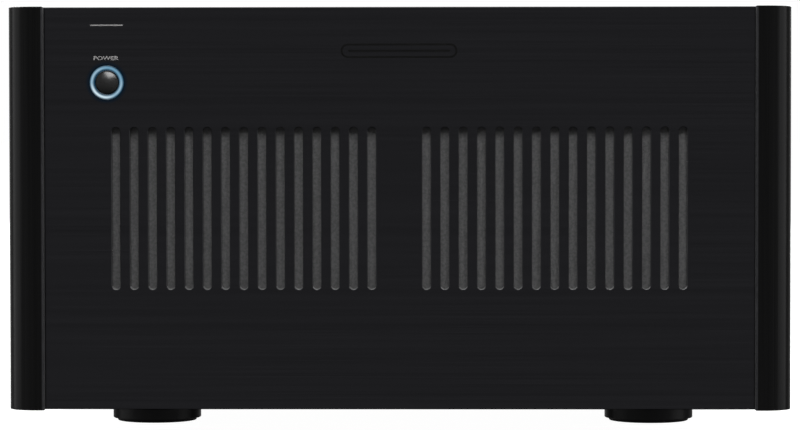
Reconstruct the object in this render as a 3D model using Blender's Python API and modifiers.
"""A two-channel hi-fi power amplifier, as the separate pieces that it is assembled from.

Metres, +Z up. The front faces -Y, +X is to the right as seen from the front, and the origin is on the
surface that the amplifier stands on, under the middle of its box. "left" and "right" are the sides as
seen from the front. Run it with: blender --background --python part.py
"""

import math

import bmesh
import bpy
from mathutils import Vector

# The whole amplifier
WIDTH = 0.431
DEPTH = 0.454
HEIGHT = 0.237
PANEL_HEIGHT = 0.2215  # five rack units, from under the front to the top
GAP = 0.0003  # left between pieces that touch
FRONT_Y = -DEPTH / 2
TERMINAL_END_Y = DEPTH / 2
PANEL_BOTTOM_Z = HEIGHT - PANEL_HEIGHT
PANEL_MID_Z = HEIGHT - PANEL_HEIGHT / 2
SIDES = {"left": -1, "right": 1}

# Front: a slotted plate between two rounded end columns
COLUMN_WIDTH = 0.0198
COLUMN_DEPTH = 0.042
COLUMN_PROUD = 0.005  # how far a column stands in front of the plate
COLUMN_NOSE_RADIUS = 0.0155
COLUMN_EDGE_RADIUS = 0.0012
COLUMN_LIP = 0.0007  # how far a column's front reaches in over the plate's edge
COLUMN_BACK_Y = FRONT_Y + COLUMN_DEPTH
COLUMN_INNER_X = WIDTH / 2 - COLUMN_WIDTH
PLATE_THICKNESS = 0.006
PLATE_SHORT = 0.0003  # at the top and at the bottom, below the columns' ends
PLATE_FRONT_Y = FRONT_Y + COLUMN_PROUD
PLATE_BACK_Y = PLATE_FRONT_Y + PLATE_THICKNESS
SLOTS_PER_BANK = 15
SLOT_PITCH = 0.01004
SLOT_WIDTH = 0.0046
SLOT_LENGTH = 0.0896
BANK_X = 0.0853  # from the middle of the plate to the middle of a bank of slots
BANK_WIDTH = (SLOTS_PER_BANK - 1) * SLOT_PITCH + SLOT_WIDTH
MESH_THICKNESS = 0.0008
MESH_MARGIN = 0.006
SUBPANEL_THICKNESS = 0.002
SUBPANEL_FRONT_Y = PLATE_BACK_Y + GAP + MESH_THICKNESS + GAP
SUBPANEL_BACK_Y = SUBPANEL_FRONT_Y + SUBPANEL_THICKNESS

# Power button, its light ring and its switch
BUTTON_X = -0.1605
BUTTON_Z = 0.1955
BUTTON_RADIUS = 0.0065
BUTTON_DOME = 0.0022
BUTTON_PROUD = 0.0014
BUTTON_CAP_LENGTH = 0.0050
BUTTON_TRAVEL = 0.003
STEM_RADIUS = 0.003
STEM_LENGTH = 0.0178
RING_INNER_RADIUS = 0.0069
RING_OUTER_RADIUS = 0.0092
RING_PROUD = 0.0004
RING_LENGTH = 0.0049
RING_HOLE_RADIUS = 0.0095
STEM_HOLE_RADIUS = 0.0040
SWITCH_SIZE = 0.016
SWITCH_LENGTH = 0.014
SWITCH_BORE_RADIUS = 0.0036
SWITCH_BORE_DEPTH = 0.0125

# Steel case
STEEL = 0.0015
BASE_BOTTOM_Z = 0.0170
BASE_THICKNESS = 0.0020
BASE_TOP_Z = BASE_BOTTOM_Z + BASE_THICKNESS
SIDE_OUTER_X = 0.2115
SIDE_INNER_X = SIDE_OUTER_X - STEEL
LID_THICKNESS = 0.0012
LID_TOP_Z = 0.2350
LID_FLANGE = 0.014
LID_BEND_RADIUS = 0.0035
LID_HALF_WIDTH = SIDE_OUTER_X + GAP + LID_THICKNESS
REAR_Y = 0.193  # outer face of the rear panel
REAR_THICKNESS = 0.002
REAR_INNER_Y = REAR_Y - REAR_THICKNESS
OUTSIDE_Y = REAR_Y + GAP  # where a part that is mounted on the rear panel starts
BODY_FRONT_Y = COLUMN_BACK_Y + GAP
TOP_VENT_COLUMNS = 10
TOP_VENT_PITCH_X = 0.0115
TOP_VENT_LENGTH = 0.118
TOP_VENT_WIDTH = 0.0040
TOP_VENT_X = 0.135  # middle of each side's field of slots
TOP_VENT_ROWS = (-0.075, 0.070)
SIDE_VENTS = 9
SIDE_VENT_PITCH = 0.026
SIDE_VENT_SIZE = (0.0045, 0.088)
BASE_VENTS = 9
BASE_VENT_PITCH = 0.030
BASE_VENT_SIZE = (0.036, 0.005)
BASE_VENT_X = 0.184
REAR_VENTS = 7
REAR_VENT_PITCH = 0.010
REAR_VENT_SIZE = (0.0045, 0.062)
REAR_VENT_X = 0.158
REAR_VENT_Z = 0.168

# Feet
FOOT_X = 0.1436
FOOT_FRONT_Y = -0.112
FOOT_REAR_Y = 0.128
FOOT_RADIUS = 0.0256
FOOT_NECK_RADIUS = 0.0205
FOOT_PAD_RADIUS = 0.0230
FOOT_PAD_HEIGHT = 0.0013
FOOT_DISC_TOP = 0.0088

# Power supply
CAN_RADIUS = 0.072
CAN_HEIGHT = 0.128
CAN_X = 0.0735
CAN_Y = -0.118
CAPACITOR_RADIUS = 0.0315
CAPACITOR_HEIGHT = 0.110
CAPACITOR_PITCH = 0.068
CAPACITOR_Y = 0.012
BOARD_THICKNESS = 0.0016
LEG_SIZE = 0.006
SUPPLY_BOARD_LEG = 0.012
STANDBY_BOARD_LEG = 0.008

# Amplifier channels, one on each side
SINK_INNER_X = 0.1588
SINK_BASE = 0.0065
SINK_FIN_LENGTH = 0.0400
SINK_FIN_THICKNESS = 0.0025
SINK_FINS = 25
SINK_PITCH = 0.012
SINK_HEIGHT = 0.186
AMP_BOARD_X = 0.1502
AMP_BOARD_LENGTH = 0.270
AMP_BOARD_HEIGHT = 0.118
AMP_BOARD_BOTTOM_Z = 0.032
TRANSISTORS = 6
TRANSISTOR_SIZE = (0.0066, 0.0155, 0.0200)
TRANSISTOR_Z = 0.118

# Rear connectors. Depths are measured outwards from OUTSIDE_Y.
INPUT_BOARD_BACK_Y = 0.1691
XLR_X = 0.060
XLR_Z = 0.186
XLR_FLANGE = (0.026, 0.031)
XLR_FLANGE_THICKNESS = 0.0018
XLR_CUTOUT = (0.0246, 0.0296)
XLR_INSERT_RADIUS = 0.0072
XLR_MOUTH_RADIUS = 0.0095
XLR_BODY_RADIUS = 0.0118
XLR_MOUTH_DEPTH = 0.011
XLR_CONTACT_RADIUS = 0.0013
XLR_CONTACT_CIRCLE = 0.0040
XLR_LATCH_SIZE = (0.0065, 0.0103, 0.0022)
XLR_LATCH_Z = 0.01335  # above the middle of the socket
XLR_LATCH_TRAVEL = 0.0015
RCA_X = 0.060
RCA_Z = 0.146
RCA_HOLE_RADIUS = 0.0052
TRIGGER_Z = 0.151
TRIGGER_PITCH = 0.018
TRIGGER_BUSH_RADIUS = 0.0039
TRIGGER_BORE_RADIUS = 0.0018
SELECTOR_SLOT = (0.0092, 0.0046)
SELECTOR_TAB = 0.0040
SELECTOR_TRAVEL = 0.004
SELECTORS = {"input_selector": 0.184, "trigger_selector": 0.130}  # name and height
INLET_Z = 0.064
INLET_FLANGE = (0.050, 0.0236)
INLET_BODY = (0.0280, 0.0202)
INLET_RECESS = (0.0246, 0.0166)
INLET_RECESS_DEPTH = 0.016
INLET_DEPTH = 0.0200

# Speaker binding posts
TERMINAL_X = 0.125
TERMINAL_Z = 0.066
TERMINAL_PITCH = 0.038
TERMINAL_PLATE = (0.078, 0.036, 0.004)
STUD_RADIUS = 0.0040
STUD_BORE_RADIUS = 0.0020
STUD_BORE_DEPTH = 0.016
STUD_WIRE_HOLE_RADIUS = 0.0017
STUD_SHORT = 0.0008  # the tip's place inside the knob's end
STUD_INNER_LENGTH = 0.018
COLLAR_RADIUS = 0.0105
COLLAR_END_Y = 0.2030
KNOB_RADIUS = 0.0105
KNOB_BORE_RADIUS = 0.00425
KNOB_FLUTES = 18
WASHER_RADIUS = 0.0097
WASHER_THICKNESS = 0.0015
WASHER_Y = COLLAR_END_Y + GAP
KNOB_Y = WASHER_Y + WASHER_THICKNESS + GAP

# Directions that a piece's own +Z axis can face
UP = (0, 0, 0)
FORWARD = (math.pi / 2, 0, 0)  # own X stays along X, and own Y goes up
BACKWARD = (math.pi / 2, 0, math.pi)  # own X is turned round, and own Y goes up
RIGHTWARD = (math.pi / 2, 0, math.pi / 2)  # own X goes backward, and own Y goes up

for old in list(bpy.data.objects):
    bpy.data.objects.remove(old)
PARTS = bpy.data.collections.new("power_amplifier")
CUTTERS = bpy.data.collections.new("cutters")
bpy.context.scene.collection.children.link(PARTS)
bpy.context.scene.collection.children.link(CUTTERS)
CUTTERS.hide_render = True


def finish(name, colour, roughness, metallic):
    """A material with one Principled BSDF."""
    made = bpy.data.materials.new(name)
    made.use_nodes = True
    shader = made.node_tree.nodes["Principled BSDF"]
    shader.inputs["Base Color"].default_value = (*colour, 1)
    shader.inputs["Roughness"].default_value = roughness
    shader.inputs["Metallic"].default_value = metallic
    return made


ANODISED = finish("black_anodised_aluminium", (0.012, 0.012, 0.013), 0.38, 1.0)
PAINT = finish("black_painted_steel", (0.014, 0.014, 0.014), 0.50, 0.0)
ZINC = finish("zinc_plated_steel", (0.52, 0.53, 0.54), 0.35, 1.0)
MESH = finish("dark_grille_mesh", (0.055, 0.055, 0.057), 0.60, 0.6)
GLOSS_BLACK = finish("gloss_black_plastic", (0.010, 0.010, 0.010), 0.12, 0.0)
MATT_BLACK = finish("matt_black_plastic", (0.018, 0.018, 0.018), 0.55, 0.0)
LIGHT = finish("light_guide_plastic", (0.45, 0.78, 0.95), 0.30, 0.0)
RUBBER = finish("black_rubber", (0.010, 0.010, 0.010), 0.80, 0.0)
SLEEVE = finish("capacitor_sleeve", (0.020, 0.035, 0.070), 0.35, 0.0)
BOARD = finish("circuit_board", (0.020, 0.110, 0.050), 0.45, 0.0)
NICKEL = finish("nickel_plate", (0.66, 0.65, 0.62), 0.20, 1.0)
GOLD = finish("gold_plate", (0.85, 0.62, 0.27), 0.22, 1.0)
RED = finish("red_plastic", (0.42, 0.010, 0.012), 0.25, 0.0)
CABLE = finish("cable_sleeve", (0.020, 0.020, 0.020), 0.60, 0.0)


def add(name, mesh, material, at=(0, 0, 0), facing=UP):
    """An object in the amplifier's collection."""
    mesh.name = name
    mesh.materials.clear()
    mesh.materials.append(material)
    piece = bpy.data.objects.new(name, mesh)
    piece.location = at
    piece.rotation_euler = facing
    PARTS.objects.link(piece)
    return piece


def circle(x, y, radius, points=24):
    """A closed outline round a centre."""
    turns = [2 * math.pi * i / points for i in range(points)]
    return [(x + radius * math.cos(a), y + radius * math.sin(a)) for a in turns]


def arc(x, y, radius, start, end, points=5):
    """Points on part of a circle, from one angle in degrees to another."""
    angles = [math.radians(start + (end - start) * i / (points - 1)) for i in range(points)]
    return [(x + radius * math.cos(a), y + radius * math.sin(a)) for a in angles]


def rectangle(x, y, width, height):
    """The four corners of an outline centred on x, y."""
    return [(x + sx * width / 2, y + sy * height / 2) for sx, sy in ((-1, -1), (1, -1), (1, 1), (-1, 1))]


def rounded(x, y, width, height, radius, points=4):
    """A rectangle with round corners. A radius of half its shorter side makes it a slot."""
    corners = ((1, 1, 0), (-1, 1, 90), (-1, -1, 180), (1, -1, 270))
    outline = []
    for sx, sy, start in corners:
        centre_x = x + sx * (width / 2 - radius)
        centre_y = y + sy * (height / 2 - radius)
        outline += arc(centre_x, centre_y, radius, start, start + 90, points)
    kept = [p for p, before in zip(outline, [outline[-1], *outline]) if math.dist(p, before) > 1e-7]
    return kept


def sheet(name, loops, thickness, material, at=(0, 0, 0), facing=UP):
    """A flat outline given thickness, half on each side of its place. A loop inside another is a hole."""
    curve = bpy.data.curves.new(name, "CURVE")
    curve.dimensions = "2D"
    curve.fill_mode = "BOTH"
    curve.extrude = thickness / 2
    for loop in loops:
        spline = curve.splines.new("POLY")
        spline.use_cyclic_u = True
        spline.points.add(len(loop) - 1)
        for point, (x, y) in zip(spline.points, loop):
            point.co = (x, y, 0, 1)
    outline = bpy.data.objects.new(name + "_outline", curve)
    bpy.context.scene.collection.objects.link(outline)
    graph = bpy.context.evaluated_depsgraph_get()
    mesh = bpy.data.meshes.new_from_object(outline.evaluated_get(graph))
    bpy.data.objects.remove(outline)
    shape = bmesh.new()
    shape.from_mesh(mesh)
    bmesh.ops.remove_doubles(shape, verts=shape.verts, dist=0.00001)
    bmesh.ops.recalc_face_normals(shape, faces=shape.faces)
    shape.to_mesh(mesh)
    shape.free()
    return add(name, mesh, material, at, facing)


def turned(name, profile, material, at=(0, 0, 0), facing=UP, steps=24, ring=False):
    """A profile of (radius, height) turned round the piece's own Z axis. A ring's profile is a closed loop."""
    mesh = bpy.data.meshes.new(name)
    edges = [(i, i + 1) for i in range(len(profile) - 1)]
    if ring:
        edges.append((len(profile) - 1, 0))
    mesh.from_pydata([(radius, 0, height) for radius, height in profile], edges, [])
    piece = add(name, mesh, material, at, facing)
    screw = piece.modifiers.new("Turn", "SCREW")
    screw.steps = steps
    screw.render_steps = steps
    screw.use_merge_vertices = True
    screw.merge_threshold = 0.00001
    return piece


def blocks(name, boxes, material, bevel=0.0):
    """One mesh of boxes, each given by its lowest and highest corner."""
    shape = bmesh.new()
    for low, high in boxes:
        low, high = Vector(low), Vector(high)
        made = bmesh.ops.create_cube(shape, size=1)["verts"]
        bmesh.ops.scale(shape, vec=high - low, verts=made)
        bmesh.ops.translate(shape, vec=(low + high) / 2, verts=made)
    mesh = bpy.data.meshes.new(name)
    shape.to_mesh(mesh)
    shape.free()
    piece = add(name, mesh, material)
    if bevel:
        edges = piece.modifiers.new("Bevel", "BEVEL")
        edges.width = bevel
        edges.segments = 1
    return piece


def around(x, y, z, size):
    """The corners of a box of a given size centred on a point, for blocks()."""
    half = Vector(size) / 2
    return Vector((x, y, z)) - half, Vector((x, y, z)) + half


def boolean(piece, helper, operation):
    """Cuts the helper from the piece, or joins it on, and puts the helper with the cutters."""
    modifier = piece.modifiers.new(operation.title(), "BOOLEAN")
    modifier.operation = operation
    modifier.solver = "EXACT"
    modifier.object = helper
    PARTS.objects.unlink(helper)
    CUTTERS.objects.link(helper)
    helper.hide_render = True
    helper.display_type = "WIRE"
    return piece


def cut(piece, helper):
    return boolean(piece, helper, "DIFFERENCE")


def join(piece, helper):
    return boolean(piece, helper, "UNION")


def tube(name, route, radius, material, points_per_leg=3):
    """A wire sleeve along a smooth curve through the route's points, straight at its two ends."""
    route = [Vector(point) for point in route]
    first, last = route[0].lerp(route[1], 0.4), route[-1].lerp(route[-2], 0.4)
    path = [route[0], route[0], first, *route[1:-1], last, route[-1], route[-1]]
    smooth = []
    for a, b, c, d in zip(path, path[1:], path[2:], path[3:]):
        for i in range(points_per_leg):
            t = i / points_per_leg
            bend = (2 * a - 5 * b + 4 * c - d) * t * t + (3 * b - a - 3 * c + d) * t * t * t
            smooth.append(b + ((c - a) * t + bend) / 2)
    smooth.append(route[-1])
    curve = bpy.data.curves.new(name, "CURVE")
    curve.dimensions = "3D"
    curve.bevel_depth = radius
    curve.bevel_resolution = 1
    curve.use_fill_caps = True
    curve.materials.append(material)
    spline = curve.splines.new("POLY")
    spline.points.add(len(smooth) - 1)
    for point, place in zip(spline.points, smooth):
        point.co = (*place, 1)
    wire = bpy.data.objects.new(name, curve)
    PARTS.objects.link(wire)
    return wire


def row(count, pitch, middle=0.0):
    """Evenly spaced places centred on a middle."""
    return [middle + (i - (count - 1) / 2) * pitch for i in range(count)]


# ---- Front ----


def slot_places():
    """The middle of each slot in the faceplate, along X."""
    return [x for side in SIDES.values() for x in row(SLOTS_PER_BANK, SLOT_PITCH, side * BANK_X)]


def faceplate():
    loops = [rectangle(0, 0, 2 * (COLUMN_INNER_X - GAP), PANEL_HEIGHT - 2 * PLATE_SHORT)]
    loops += [rounded(x, 0, SLOT_WIDTH, SLOT_LENGTH, SLOT_WIDTH / 2, 3) for x in slot_places()]
    loops.append(circle(BUTTON_X, BUTTON_Z - PANEL_MID_Z, RING_HOLE_RADIUS, 32))
    middle = (0, (PLATE_FRONT_Y + PLATE_BACK_Y) / 2, PANEL_MID_Z)
    sheet("faceplate", loops, PLATE_THICKNESS, ANODISED, middle, FORWARD)


def end_column(name, side):
    """A solid extrusion with a round nose at the outer front and a lip over the plate's edge."""
    nose_x = COLUMN_WIDTH - COLUMN_NOSE_RADIUS
    edge = COLUMN_EDGE_RADIUS
    lip_back = COLUMN_PROUD - GAP
    outline = [(0, lip_back), (-COLUMN_LIP, lip_back)]
    outline += arc(edge - COLUMN_LIP, edge, edge, 180, 270, 4)
    outline += arc(nose_x, COLUMN_NOSE_RADIUS, COLUMN_NOSE_RADIUS, -90, 0, 13)
    outline += arc(COLUMN_WIDTH - edge, COLUMN_DEPTH - edge, edge, 0, 90, 4)
    outline.append((0, COLUMN_DEPTH))
    placed = [(side * (COLUMN_INNER_X + x), FRONT_Y + y) for x, y in outline]
    sheet(name, [placed], PANEL_HEIGHT, ANODISED, (0, 0, PANEL_MID_Z))


def grille_mesh():
    width = 2 * (BANK_X + BANK_WIDTH / 2 + MESH_MARGIN)
    y = PLATE_BACK_Y + GAP + MESH_THICKNESS / 2
    outline = rectangle(0, 0, width, SLOT_LENGTH + 2 * MESH_MARGIN)
    sheet("grille_mesh", [outline], MESH_THICKNESS, MESH, (0, y, PANEL_MID_Z), FORWARD)


def front_subpanel():
    """The steel frame that carries the faceplate, open behind both banks of slots."""
    bottom, top = BASE_BOTTOM_Z, LID_TOP_Z - LID_THICKNESS - GAP
    width = 2 * (COLUMN_INNER_X - GAP)
    middle_z = (bottom + top) / 2
    loops = [rectangle(0, 0, width, top - bottom)]
    for side in SIDES.values():
        loops.append(rectangle(side * BANK_X, PANEL_MID_Z - middle_z, BANK_WIDTH, SLOT_LENGTH))
    loops.append(circle(BUTTON_X, BUTTON_Z - middle_z, STEM_HOLE_RADIUS, 16))
    y = (SUBPANEL_FRONT_Y + SUBPANEL_BACK_Y) / 2
    sheet("front_subpanel", loops, SUBPANEL_THICKNESS, ZINC, (0, y, middle_z), FORWARD)


def power_button():
    """A domed cap on a stem. Its origin is on the axis that it slides along, at the plate's face."""
    sphere = (BUTTON_RADIUS**2 + BUTTON_DOME**2) / (2 * BUTTON_DOME)
    rim_angle = math.degrees(math.asin(BUTTON_RADIUS / sphere))
    dome = arc(0, BUTTON_PROUD - sphere, sphere, 90, 90 - rim_angle, 4)
    dome[0] = (0, BUTTON_PROUD)
    back = BUTTON_PROUD - BUTTON_CAP_LENGTH
    stem = [(BUTTON_RADIUS, back), (STEM_RADIUS, back), (STEM_RADIUS, -STEM_LENGTH), (0, -STEM_LENGTH)]
    turned("power_button", dome + stem, GLOSS_BLACK, (BUTTON_X, PLATE_FRONT_Y, BUTTON_Z), FORWARD, 32)


def power_light_ring():
    middle = (RING_INNER_RADIUS + RING_OUTER_RADIUS) / 2
    back = RING_PROUD - RING_LENGTH
    loop = [(middle, RING_PROUD), (RING_OUTER_RADIUS, 0), (RING_OUTER_RADIUS, back)]
    loop += [(RING_INNER_RADIUS, back), (RING_INNER_RADIUS, 0)]
    at = (BUTTON_X, PLATE_FRONT_Y, BUTTON_Z)
    turned("power_light_ring", loop, LIGHT, at, FORWARD, 32, ring=True)


def power_switch():
    """The push switch's body, with the bore that the button's stem slides into."""
    front = SUBPANEL_BACK_Y + GAP
    middle = (BUTTON_X, front + SWITCH_LENGTH / 2, BUTTON_Z)
    body = blocks("power_switch", [around(*middle, (SWITCH_SIZE, SWITCH_LENGTH, SWITCH_SIZE))], MATT_BLACK)
    depth = 2 * SWITCH_BORE_DEPTH
    at = (BUTTON_X, front, BUTTON_Z)
    bore = sheet("switch_bore", [circle(0, 0, SWITCH_BORE_RADIUS, 16)], depth, MATT_BLACK, at, FORWARD)
    cut(body, bore)


# ---- Case ----


def base_pan():
    """The chassis floor, narrower at the front where it passes between the end columns."""
    front, rear = SUBPANEL_BACK_Y + GAP, REAR_INNER_Y - GAP
    narrow, wide = COLUMN_INNER_X - GAP, SIDE_INNER_X - GAP
    half = [(narrow, front), (narrow, BODY_FRONT_Y), (wide, BODY_FRONT_Y), (wide, rear)]
    loops = [half + [(-x, y) for x, y in reversed(half)]]
    for side in SIDES.values():
        for y in row(BASE_VENTS, BASE_VENT_PITCH):
            loops.append(rounded(side * BASE_VENT_X, y, *BASE_VENT_SIZE, BASE_VENT_SIZE[1] / 2, 3))
    sheet("base_pan", loops, BASE_THICKNESS, ZINC, (0, 0, BASE_BOTTOM_Z + BASE_THICKNESS / 2))


def top_cover():
    """A lid with its sides bent down over the side panels, and a tongue between the end columns."""
    bend_x, bend_z = LID_HALF_WIDTH - LID_BEND_RADIUS, LID_TOP_Z - LID_BEND_RADIUS
    tongue_x = COLUMN_INNER_X - GAP
    right = [(tongue_x, LID_TOP_Z)]
    right += arc(bend_x, bend_z, LID_BEND_RADIUS, 90, 0, 6)
    right.append((LID_HALF_WIDTH, LID_TOP_Z - LID_FLANGE))
    section = [(-x, z) for x, z in reversed(right)] + right
    lines_y = (PLATE_BACK_Y + GAP, BODY_FRONT_Y, REAR_Y)
    shape = bmesh.new()
    grid = [[shape.verts.new((x, y, z)) for x, z in section] for y in lines_y]
    tongue = len(right) - 1
    for line, (near, far) in enumerate(zip(grid, grid[1:])):
        for i in range(len(section) - 1):
            if line or i == tongue:
                shape.faces.new((near[i], near[i + 1], far[i + 1], far[i]))
    loose = [v for v in shape.verts if not v.link_faces]
    bmesh.ops.delete(shape, geom=loose, context="VERTS")
    mesh = bpy.data.meshes.new("top_cover")
    shape.to_mesh(mesh)
    shape.free()
    lid = add("top_cover", mesh, PAINT)
    wall = lid.modifiers.new("Steel", "SOLIDIFY")
    wall.thickness = LID_THICKNESS
    wall.offset = -1
    wall.use_even_offset = True
    loops = []
    for side in SIDES.values():
        for x in row(TOP_VENT_COLUMNS, TOP_VENT_PITCH_X, side * TOP_VENT_X):
            for y in TOP_VENT_ROWS:
                loops.append(rounded(x, y, TOP_VENT_WIDTH, TOP_VENT_LENGTH, TOP_VENT_WIDTH / 2, 3))
    vents = sheet("top_vents", loops, 4 * LID_THICKNESS, PAINT, (0, 0, LID_TOP_Z))
    cut(lid, vents)


def side_panel(name, side):
    """A side of the case. Its top edge ends where the lid's bend begins."""
    bottom, top = BASE_BOTTOM_Z, LID_TOP_Z - LID_BEND_RADIUS
    middle_y, middle_z = (BODY_FRONT_Y + REAR_Y) / 2, (bottom + top) / 2
    loops = [rectangle(0, 0, REAR_Y - BODY_FRONT_Y, top - bottom)]
    for y in row(SIDE_VENTS, SIDE_VENT_PITCH, -middle_y):
        loops.append(rounded(y, 0, *SIDE_VENT_SIZE, SIDE_VENT_SIZE[0] / 2, 3))
    at = (side * (SIDE_INNER_X + SIDE_OUTER_X) / 2, middle_y, middle_z)
    sheet(name, loops, STEEL, PAINT, at, RIGHTWARD)


def rear_panel():
    bottom, top = BASE_BOTTOM_Z, LID_TOP_Z - LID_THICKNESS - GAP
    middle_z = (bottom + top) / 2
    loops = [rectangle(0, 0, 2 * (SIDE_INNER_X - GAP), top - bottom)]
    for side in SIDES.values():
        for x in row(REAR_VENTS, REAR_VENT_PITCH, side * REAR_VENT_X):
            loops.append(rounded(x, REAR_VENT_Z - middle_z, *REAR_VENT_SIZE, REAR_VENT_SIZE[0] / 2, 3))
        loops.append(rounded(side * XLR_X, XLR_Z - middle_z, *XLR_CUTOUT, 0.003, 3))
        loops.append(circle(side * RCA_X, RCA_Z - middle_z, RCA_HOLE_RADIUS, 16))
        loops.append(circle(side * TRIGGER_PITCH / 2, TRIGGER_Z - middle_z, TRIGGER_BUSH_RADIUS + GAP, 16))
        for x in row(2, TERMINAL_PITCH, side * TERMINAL_X):
            loops.append(circle(x, TERMINAL_Z - middle_z, 0.0066, 16))
    for z in SELECTORS.values():
        loops.append(rectangle(0, z - middle_z, *SELECTOR_SLOT))
    clear = 2 * GAP
    loops.append(rectangle(0, INLET_Z - middle_z, INLET_BODY[0] + clear, INLET_BODY[1] + clear))
    at = (0, (REAR_INNER_Y + REAR_Y) / 2, middle_z)
    sheet("rear_panel", loops, REAR_THICKNESS, PAINT, at, FORWARD)


def foot(name, x, y):
    """A disc with a rounded shoulder on a neck, screwed under the base pan."""
    top, bottom = BASE_BOTTOM_Z - GAP, FOOT_PAD_HEIGHT + GAP
    profile = [(0, top), (FOOT_NECK_RADIUS, top), (FOOT_NECK_RADIUS, FOOT_DISC_TOP)]
    profile += arc(FOOT_RADIUS - 0.002, FOOT_DISC_TOP - 0.002, 0.002, 90, 0, 4)
    profile += [(FOOT_RADIUS, bottom), (0, bottom)]
    turned(name, profile, GLOSS_BLACK, (x, y, 0), steps=28)


def foot_pad(name, x, y):
    edge = 0.0003
    profile = [(0, FOOT_PAD_HEIGHT), (FOOT_PAD_RADIUS, FOOT_PAD_HEIGHT), (FOOT_PAD_RADIUS, edge)]
    profile += [(FOOT_PAD_RADIUS - edge, 0), (0, 0)]
    turned(name, profile, RUBBER, (x, y, 0), steps=28)


# ---- Power supply ----


def transformer(name, side):
    """A toroidal transformer potted in a round steel can, with a bolt through its middle."""
    top, edge = CAN_HEIGHT, 0.005
    profile = [(0, top + 0.006), (0.008, top + 0.006), (0.008, top - 0.003), (0.058, top - 0.003), (0.060, top)]
    profile += arc(CAN_RADIUS - edge, top - edge, edge, 90, 0, 3)
    profile += [(CAN_RADIUS, 0), (0, 0)]
    turned(name, profile, PAINT, (side * CAN_X, CAN_Y, BASE_TOP_Z + GAP), steps=32)


def supply_board_top():
    return BASE_TOP_Z + GAP + SUPPLY_BOARD_LEG + BOARD_THICKNESS


def capacitor(name, x):
    """A screw-terminal reservoir capacitor with a rolled top edge."""
    top, roll = CAPACITOR_HEIGHT, 0.002
    profile = [(0, top - roll), (CAPACITOR_RADIUS - 2 * roll, top - roll), (CAPACITOR_RADIUS - roll, top)]
    profile += [(CAPACITOR_RADIUS, top - roll), (CAPACITOR_RADIUS, 0), (0, 0)]
    turned(name, profile, SLEEVE, (x, CAPACITOR_Y, supply_board_top() + GAP))


def board_on_legs(name, low, high, leg, components):
    """A circuit board lying flat, with a leg at each corner and the components soldered on it."""
    base = BASE_TOP_Z + GAP
    under, top = base + leg, base + leg + BOARD_THICKNESS
    board = blocks(name, [((*low, under), (*high, top))], BOARD)
    inset, sunk = LEG_SIZE / 2 + 0.002, BOARD_THICKNESS / 2
    fused = []
    for x in (low[0] + inset, high[0] - inset):
        for y in (low[1] + inset, high[1] - inset):
            fused.append(((x - LEG_SIZE / 2, y - LEG_SIZE / 2, base), (x + LEG_SIZE / 2, y + LEG_SIZE / 2, top - sunk)))
    for (x, y), (width, depth, height) in components:
        fused.append(((x - width / 2, y - depth / 2, top - sunk), (x + width / 2, y + depth / 2, top + height)))
    join(board, blocks(name + "_fused", fused, BOARD))


def power_supply_board():
    """Carries the four capacitors, with a bridge rectifier for each channel behind them."""
    rectifiers = [((side * CAPACITOR_PITCH, 0.064), (0.028, 0.020, 0.010)) for side in SIDES.values()]
    board_on_legs("power_supply_board", (-0.142, -0.025), (0.142, 0.080), SUPPLY_BOARD_LEG, rectifiers)


def standby_board():
    """Standby transformer, mains relay and soft-start resistors."""
    parts = [((-0.118, 0.140), (0.036, 0.030, 0.028)), ((-0.075, 0.150), (0.028, 0.013, 0.024))]
    parts += [((x, 0.124), (0.007, 0.020, 0.009)) for x in row(2, 0.016, -0.066)]
    board_on_legs("standby_board", (-0.145, 0.105), (-0.040, 0.170), STANDBY_BOARD_LEG, parts)


def mains_wiring():
    """From the back of the inlet down to the standby board."""
    board_top = BASE_TOP_Z + GAP + STANDBY_BOARD_LEG + BOARD_THICKNESS
    start_y = OUTSIDE_Y - INLET_DEPTH - GAP
    route = [(-0.008, start_y, INLET_Z), (-0.008, start_y - 0.008, INLET_Z), (-0.016, 0.156, 0.056)]
    route += [(-0.036, 0.151, 0.050), (-0.048, 0.149, board_top + 0.010), (-0.048, 0.149, board_top + GAP)]
    tube("mains_wiring", route, 0.0028, CABLE)


def switch_wiring():
    """From the power switch down beside the left can, and back under the amplifier board."""
    low_z = BASE_TOP_Z + 0.0035
    start_y = SUBPANEL_BACK_Y + GAP + SWITCH_LENGTH + GAP
    route = [(BUTTON_X, start_y, BUTTON_Z), (BUTTON_X, start_y + 0.004, BUTTON_Z)]
    route += [(-0.161, -0.185, 0.170), (-0.161, -0.185, 0.110), (-0.155, -0.184, 0.036)]
    route += [(-0.1520, -0.168, low_z), (-0.1520, 0.020, low_z), (-0.1520, 0.115, low_z), (-0.1490, 0.150, low_z)]
    tube("switch_wiring", route, 0.0022, CABLE)


# ---- Amplifier channels ----


def heat_sink(name, side):
    """A base plate along the case with upright fins towards the side panel."""
    places = row(SINK_FINS, SINK_PITCH)
    half = SINK_FIN_THICKNESS / 2
    tip = SINK_BASE + SINK_FIN_LENGTH
    outline = [(0, places[-1] + half), (0, places[0] - half)]
    for y in places:
        outline += [(tip, y - half), (tip, y + half)]
        if y != places[-1]:
            outline += [(SINK_BASE, y + half), (SINK_BASE, y + SINK_PITCH - half)]
    placed = [(side * (SINK_INNER_X + x), y) for x, y in outline]
    sheet(name, [placed], SINK_HEIGHT, ANODISED, (0, 0, BASE_TOP_Z + GAP + SINK_HEIGHT / 2))


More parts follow.
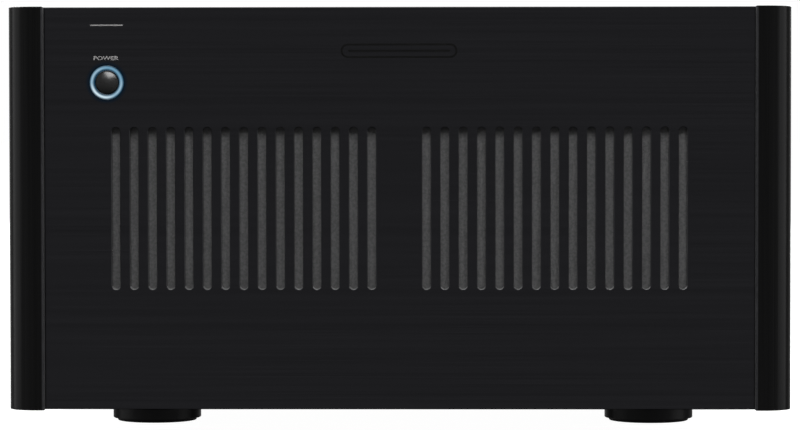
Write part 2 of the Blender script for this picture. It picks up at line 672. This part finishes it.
def amplifier_board(name, side):
    """An upright circuit board with its output transistors, whose tabs lie against the heat sink."""
    low_x = AMP_BOARD_X - BOARD_THICKNESS
    boxes = [((low_x, -AMP_BOARD_LENGTH / 2, AMP_BOARD_BOTTOM_Z),
              (AMP_BOARD_X, AMP_BOARD_LENGTH / 2, AMP_BOARD_BOTTOM_Z + AMP_BOARD_HEIGHT))]
    depth, width, height = TRANSISTOR_SIZE
    reach = SINK_INNER_X - GAP
    transistors = []
    for y in row(TRANSISTORS, 0.042):
        low = (AMP_BOARD_X - BOARD_THICKNESS / 2, y - width / 2, TRANSISTOR_Z - height / 2)
        transistors.append((low, (reach, y + width / 2, TRANSISTOR_Z + height / 2)))
    for group in (boxes, transistors):
        for i, (low, high) in enumerate(group):
            xs = sorted((side * low[0], side * high[0]))
            group[i] = ((xs[0], *low[1:]), (xs[1], *high[1:]))
    board = blocks(name, boxes, BOARD)
    join(board, blocks(name + "_transistors", transistors, MATT_BLACK))


# ---- Rear connectors ----


def xlr_socket(name, x):
    """A balanced input: a flange, and a round body whose annular mouth takes a plug's shell."""
    lip = XLR_FLANGE_THICKNESS + 0.0005
    back = INPUT_BOARD_BACK_Y + GAP - OUTSIDE_Y
    profile = [(0, lip - 0.001), (XLR_INSERT_RADIUS, lip - 0.001), (XLR_INSERT_RADIUS, -XLR_MOUTH_DEPTH)]
    profile += [(XLR_MOUTH_RADIUS, -XLR_MOUTH_DEPTH), (XLR_MOUTH_RADIUS, lip), (XLR_BODY_RADIUS, lip)]
    profile += [(XLR_BODY_RADIUS, back), (0, back)]
    at = (x, OUTSIDE_Y, XLR_Z)
    body = turned(name, profile, MATT_BLACK, at, BACKWARD)
    between = (XLR_MOUTH_RADIUS + XLR_BODY_RADIUS) / 2
    latch_width, _, latch_height = XLR_LATCH_SIZE
    loops = [rounded(0, 0, *XLR_FLANGE, 0.003), circle(0, 0, between)]
    loops.append(rectangle(0, XLR_LATCH_Z, latch_width + 2 * GAP, latch_height + 2 * GAP))
    middle = (x, OUTSIDE_Y + XLR_FLANGE_THICKNESS / 2, XLR_Z)
    join(body, sheet(name + "_flange", loops, XLR_FLANGE_THICKNESS, MATT_BLACK, middle, BACKWARD))
    contacts = [circle(*arc(0, 0, XLR_CONTACT_CIRCLE, angle, angle, 2)[0], XLR_CONTACT_RADIUS, 10)
                for angle in (30, 150, 270)]
    cut(body, sheet(name + "_contacts", contacts, 2 * XLR_MOUTH_DEPTH, MATT_BLACK, at, BACKWARD))


def xlr_latch(name, x):
    """The tab that is pressed in to let a plug go."""
    depth = XLR_LATCH_SIZE[1]
    middle_y = OUTSIDE_Y + XLR_FLANGE_THICKNESS + 0.0037 - depth / 2
    blocks(name, [around(x, middle_y, XLR_Z + XLR_LATCH_Z, XLR_LATCH_SIZE)], NICKEL, 0.0004)


def rca_socket(name, x):
    back = INPUT_BOARD_BACK_Y + GAP - OUTSIDE_Y
    profile = [(0, 0.0012), (0.0017, 0.0012), (0.0017, 0.0095), (0.0041, 0.0095), (0.0041, 0.0020)]
    profile += [(0.0078, 0.0020), (0.0078, 0), (0.0048, 0), (0.0048, back), (0, back)]
    turned(name, profile, GOLD, (x, OUTSIDE_Y, RCA_Z), BACKWARD)


def trigger_sockets():
    """Two 3.5 mm jacks in one moulding, for the link that switches the amplifier on."""
    back, front = INPUT_BOARD_BACK_Y + GAP, REAR_INNER_Y - GAP
    body = blocks("trigger_sockets", [((-0.017, back, TRIGGER_Z - 0.006), (0.017, front, TRIGGER_Z + 0.006))],
                  MATT_BLACK)
    mouths = row(2, TRIGGER_PITCH)
    length = 0.010
    at = (0, front, TRIGGER_Z)
    bushes = [circle(x, 0, TRIGGER_BUSH_RADIUS, 16) for x in mouths]
    join(body, sheet("trigger_bushes", bushes, length, MATT_BLACK, at, BACKWARD))
    bores = [circle(x, 0, TRIGGER_BORE_RADIUS, 12) for x in mouths]
    cut(body, sheet("trigger_bores", bores, 2.8 * length, MATT_BLACK, at, BACKWARD))


def selector(name, z):
    """A slide switch's tab, at the left end of its slot, with the wide foot that keeps it in."""
    low_y = INPUT_BOARD_BACK_Y + 0.0182
    rest_x = -SELECTOR_TRAVEL / 2
    tab = blocks(name, [around(rest_x, low_y + 0.0047, z, (SELECTOR_TAB, 0.0094, SELECTOR_TAB))], MATT_BLACK)
    join(tab, blocks(name + "_foot", [around(rest_x, low_y + 0.0010, z, (0.0115, 0.0014, 0.0072))], MATT_BLACK))


def input_board():
    """An upright circuit board that the input sockets are soldered to, with the slide switches' bodies."""
    board = blocks("input_board", [((-0.080, INPUT_BOARD_BACK_Y - BOARD_THICKNESS, 0.118),
                                    (0.080, INPUT_BOARD_BACK_Y, 0.210))], BOARD)
    low_y, high_y = INPUT_BOARD_BACK_Y - BOARD_THICKNESS / 2, INPUT_BOARD_BACK_Y + 0.0178
    bodies = [((-0.011, low_y, z - 0.0055), (0.011, high_y, z + 0.0055)) for z in SELECTORS.values()]
    join(board, blocks("slide_switch_bodies", bodies, NICKEL))


def inlet_recess(margin=0.0):
    """The outline of the mains inlet's mouth, with its two upper corners cut off."""
    half_x, half_z, corner = INLET_RECESS[0] / 2 + margin, INLET_RECESS[1] / 2 + margin, 0.0045
    right = [(half_x, -half_z), (half_x, half_z - corner), (half_x - corner, half_z)]
    return right + [(-x, z) for x, z in reversed(right)]


def mains_inlet():
    back = OUTSIDE_Y - INLET_DEPTH
    body = blocks("mains_inlet", [around(0, (back + OUTSIDE_Y + 0.001) / 2, INLET_Z,
                                         (INLET_BODY[0], INLET_DEPTH + 0.001, INLET_BODY[1]))], MATT_BLACK)
    flange = rounded(0, 0, *INLET_FLANGE, 0.004)
    at = (0, OUTSIDE_Y + 0.001, INLET_Z)
    join(body, sheet("inlet_flange", [flange], 0.002, MATT_BLACK, at, BACKWARD))
    mouth = (0, OUTSIDE_Y + 0.002, INLET_Z)
    cut(body, sheet("inlet_recess", [inlet_recess()], 2 * INLET_RECESS_DEPTH, MATT_BLACK, mouth, BACKWARD))
    floor_y = OUTSIDE_Y + 0.002 - INLET_RECESS_DEPTH
    pins = [around(x, floor_y + 0.005, INLET_Z + z, (0.002, 0.014, 0.004)) for x, z in ((-0.007, 0), (0.007, 0), (0, 0.004))]
    join(body, blocks("inlet_pins", pins, NICKEL))


# ---- Speaker binding posts ----


def terminal_places(side):
    """Names and places along X of one channel's two posts. The red one is nearer the middle."""
    inner, outer = side * (TERMINAL_X - TERMINAL_PITCH / 2), side * (TERMINAL_X + TERMINAL_PITCH / 2)
    return {"red": inner, "black": outer}


def terminal_plate(name, side):
    """A moulded insulator with a collar and a bush through the panel for each post."""
    width, height, thickness = TERMINAL_PLATE
    bore = STUD_RADIUS + 0.0004
    tall = COLLAR_END_Y - OUTSIDE_Y
    places = [x - side * TERMINAL_X for x in terminal_places(side).values()]
    loops = [rounded(0, 0, width, height, 0.004)] + [circle(-x, 0, 0.0075) for x in places]
    middle = (side * TERMINAL_X, OUTSIDE_Y + thickness / 2, TERMINAL_Z)
    plate = sheet(name, loops, thickness, MATT_BLACK, middle, BACKWARD)
    loop = [(COLLAR_RADIUS, tall), (COLLAR_RADIUS, 0.0005), (0.0062, 0.0005), (0.0062, -0.0035)]
    loop += [(bore, -0.0035), (bore, tall)]
    for i, x in enumerate(places):
        at = (side * TERMINAL_X + x, OUTSIDE_Y, TERMINAL_Z)
        join(plate, turned(f"{name}_collar_{i}", loop, MATT_BLACK, at, BACKWARD, ring=True))


def binding_post_stud(name, x):
    """A threaded stud with its nut inside the panel, a plug bore in its tip and a hole across for bare wire."""
    tip = TERMINAL_END_Y - STUD_SHORT - OUTSIDE_Y
    inner = -STUD_INNER_LENGTH
    bore_end = tip - STUD_BORE_DEPTH
    profile = [(0, bore_end), (STUD_BORE_RADIUS, bore_end), (STUD_BORE_RADIUS, tip), (STUD_RADIUS, tip)]
    profile += [(STUD_RADIUS, -0.0041), (0.0075, -0.0041), (0.0075, -0.0091), (STUD_RADIUS, -0.0091)]
    profile += [(STUD_RADIUS, inner), (0, inner)]
    stud = turned(name, profile, GOLD, (x, OUTSIDE_Y, TERMINAL_Z), BACKWARD, 16)
    hole_y = WASHER_Y + STUD_WIRE_HOLE_RADIUS
    hole = sheet(name + "_hole", [circle(0, 0, STUD_WIRE_HOLE_RADIUS, 10)], 0.02, GOLD, (x, hole_y, TERMINAL_Z))
    cut(stud, hole)


def binding_post_washer(name, x):
    bore = STUD_RADIUS + 0.0004
    loop = [(WASHER_RADIUS, WASHER_THICKNESS), (WASHER_RADIUS, 0), (bore, 0), (bore, WASHER_THICKNESS)]
    turned(name, loop, NICKEL, (x, WASHER_Y, TERMINAL_Z), BACKWARD, ring=True)


def binding_post_knob(name, x, material):
    """A fluted grip. Its origin is on the axis that it turns about."""
    fluted = []
    for i in range(2 * KNOB_FLUTES):
        radius = KNOB_RADIUS - (0.0009 if i % 2 else 0)
        fluted += arc(0, 0, radius, 180 * i / KNOB_FLUTES, 180 * i / KNOB_FLUTES, 2)[:1]
    loops = [fluted, circle(0, 0, KNOB_BORE_RADIUS, 20)]
    length = TERMINAL_END_Y - KNOB_Y
    sheet(name, loops, length, material, (x, KNOB_Y + length / 2, TERMINAL_Z), BACKWARD)


def binding_posts():
    colours = {"red": RED, "black": MATT_BLACK}
    for side_name, side in SIDES.items():
        terminal_plate(f"terminal_plate_{side_name}", side)
        for colour, x in terminal_places(side).items():
            binding_post_stud(f"post_stud_{side_name}_{colour}", x)
            binding_post_washer(f"post_washer_{side_name}_{colour}", x)
            binding_post_knob(f"post_knob_{side_name}_{colour}", x, colours[colour])


def main():
    faceplate()
    grille_mesh()
    front_subpanel()
    power_button()
    power_light_ring()
    power_switch()
    base_pan()
    top_cover()
    rear_panel()
    power_supply_board()
    standby_board()
    mains_wiring()
    switch_wiring()
    trigger_sockets()
    input_board()
    mains_inlet()
    binding_posts()
    for name, z in SELECTORS.items():
        selector(name, z)
    for i, x in enumerate(row(4, CAPACITOR_PITCH), start=1):
        capacitor(f"capacitor_{i}", x)
    for side_name, side in SIDES.items():
        end_column(f"end_column_{side_name}", side)
        side_panel(f"side_panel_{side_name}", side)
        transformer(f"transformer_{side_name}", side)
        heat_sink(f"heat_sink_{side_name}", side)
        amplifier_board(f"amplifier_board_{side_name}", side)
        xlr_socket(f"xlr_socket_{side_name}", side * XLR_X)
        xlr_latch(f"xlr_latch_{side_name}", side * XLR_X)
        rca_socket(f"rca_socket_{side_name}", side * RCA_X)
        for end, y in (("front", FOOT_FRONT_Y), ("rear", FOOT_REAR_Y)):
            foot(f"foot_{end}_{side_name}", side * FOOT_X, y)
            foot_pad(f"foot_pad_{end}_{side_name}", side * FOOT_X, y)


main()
